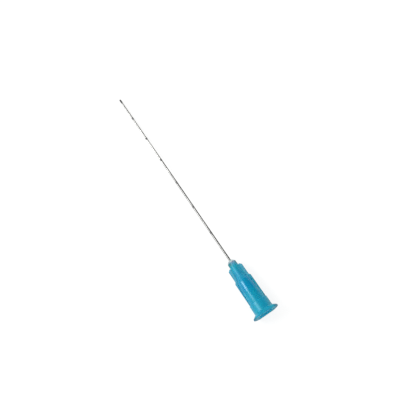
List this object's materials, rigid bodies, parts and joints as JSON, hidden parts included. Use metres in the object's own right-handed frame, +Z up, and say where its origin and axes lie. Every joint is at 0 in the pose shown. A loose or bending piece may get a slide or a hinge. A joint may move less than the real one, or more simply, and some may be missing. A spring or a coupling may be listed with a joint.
{
  "type": "blunt tip microcannula",
  "caption": "Slim steel tube with a closed round tip, a side port and depth rings, glued into a finned blue luer lock hub; delivers injections without a sharp point.",
  "frame": {"origin": "middle of the bottom of the bounding box, on the surface that the cannula lies on", "axes": "+X from the tip towards the hub, +Y across the lock lugs, +Z up; the tube rises 1.8 degrees towards the hub"},
  "size_m": [0.0876, 0.0076, 0.0061],
  "materials": {
    "tube_steel": "drawn stainless steel, satin, with darker rings marked round it every 10 mm",
    "cured_glue": "cloudy cured glue, smooth",
    "hub_plastic": "translucent blue moulded polypropylene, smooth"
  },
  "bodies": {
    "root": {"cannula_tube": "tube_steel", "glue_bead": "cured_glue", "hub": "hub_plastic"}
  },
  "joints": []
}
